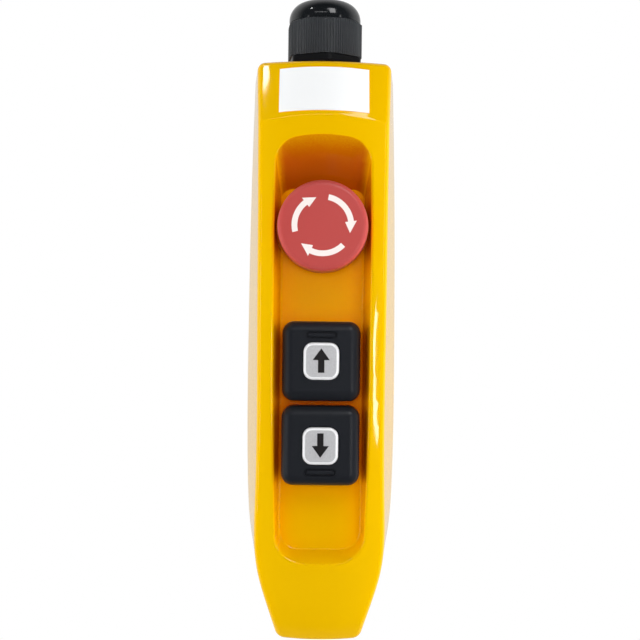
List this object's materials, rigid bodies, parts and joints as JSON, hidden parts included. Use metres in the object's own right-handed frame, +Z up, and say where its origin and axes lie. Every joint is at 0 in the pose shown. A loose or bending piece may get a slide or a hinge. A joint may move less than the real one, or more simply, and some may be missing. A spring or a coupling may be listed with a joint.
{
  "type": "pendant control station",
  "caption": "Long yellow hand-held housing hanging from a cable gland, with a mushroom emergency stop and push buttons set in a thumb well.",
  "frame": {"origin": "centre of the cable gland's mouth, where the cord enters its rubber insert", "axes": "+Z up along the housing and out of the gland, -Y out of the front that carries the buttons, +X to the right as seen from the front"},
  "size_m": [0.0692, 0.0606, 0.2921],
  "materials": {
    "housing_yellow": "satin gloss moulding",
    "label_white": "smooth film",
    "gland_black": "moulded nylon",
    "insert_grey": "matt",
    "seal_rubber": "matt",
    "head_red": "satin",
    "inner_black": "moulded",
    "boot_black": "smooth, slight sheen",
    "plate_silver": "silver paint",
    "block_grey": "moulded",
    "steel": "zinc plated",
    "brass": "bright"
  },
  "bodies": {
    "housing": {"front_shell": "housing_yellow", "back_cover": "housing_yellow", "cover_gasket": "seal_rubber", "cover_screws": "steel", "screw_inserts": "brass", "name_label": "label_white", "mounting_plate": "steel", "plate_screws": "steel", "gland_washer": "seal_rubber", "gland_body": "gland_black", "gland_lock_nut": "gland_black", "estop_seal": "seal_rubber", "estop_collar": "inner_black", "estop_ring_nut": "inner_black", "estop_spring": "steel", "estop_latch_sleeve": "inner_black", "estop_contact_block": "block_grey", "estop_fixed_contacts": "brass", "estop_terminal_screws": "steel", "up_boot": "boot_black", "up_return_spring": "steel", "up_contact_block": "block_grey", "up_fixed_contacts": "brass", "up_terminal_screws": "steel", "down_boot": "boot_black", "down_return_spring": "steel", "down_contact_block": "block_grey", "down_fixed_contacts": "brass", "down_terminal_screws": "steel"},
    "gland_seal": {"gland_insert": "insert_grey"},
    "gland_nut": {"gland_cap": "gland_black"},
    "estop_plunger": {"estop_stem": "inner_black", "estop_bridge": "brass"},
    "estop_knob": {"estop_head": "head_red"},
    "up_button": {"up_plate": "plate_silver", "up_pusher": "inner_black", "up_stem": "inner_black", "up_bridge": "brass"},
    "down_button": {"down_plate": "plate_silver", "down_pusher": "inner_black", "down_stem": "inner_black", "down_bridge": "brass"}
  },
  "joints": [
    {"name": "gland_seal_lift", "type": "slide", "parent": "housing", "child": "gland_seal", "axis": [0, 0, 1], "range_m": [0, 0.003]},
    {"name": "gland_cap_turn", "type": "hinge", "parent": "gland_seal", "child": "gland_nut", "pos_m": [0, 0, -0.013], "axis": [0, 0, 1], "range_deg": [0, 720]},
    {"name": "estop_press", "type": "slide", "parent": "housing", "child": "estop_plunger", "axis": [0, 1, 0], "range_m": [0, 0.0045], "deforming": ["estop_spring"]},
    {"name": "estop_twist", "type": "hinge", "parent": "estop_plunger", "child": "estop_knob", "pos_m": [0, -0.03, -0.1061], "axis": [0, 1, 0], "range_deg": [0, 45], "stiffness_Nm_per_rad": 0.2, "springref_deg": -5.73},
    {"name": "up_press", "type": "slide", "parent": "housing", "child": "up_button", "axis": [0, 1, 0], "range_m": [0, 0.005], "stiffness_N_per_m": 800, "springref_m": -0.003, "deforming": ["up_boot", "up_return_spring"]},
    {"name": "down_press", "type": "slide", "parent": "housing", "child": "down_button", "axis": [0, 1, 0], "range_m": [0, 0.005], "stiffness_N_per_m": 800, "springref_m": -0.003, "deforming": ["down_boot", "down_return_spring"]}
  ],
  "couplings": [
    {"joint": "gland_cap_turn", "follows": "gland_seal_lift", "rad_per_m": 4188.8}
  ]
}
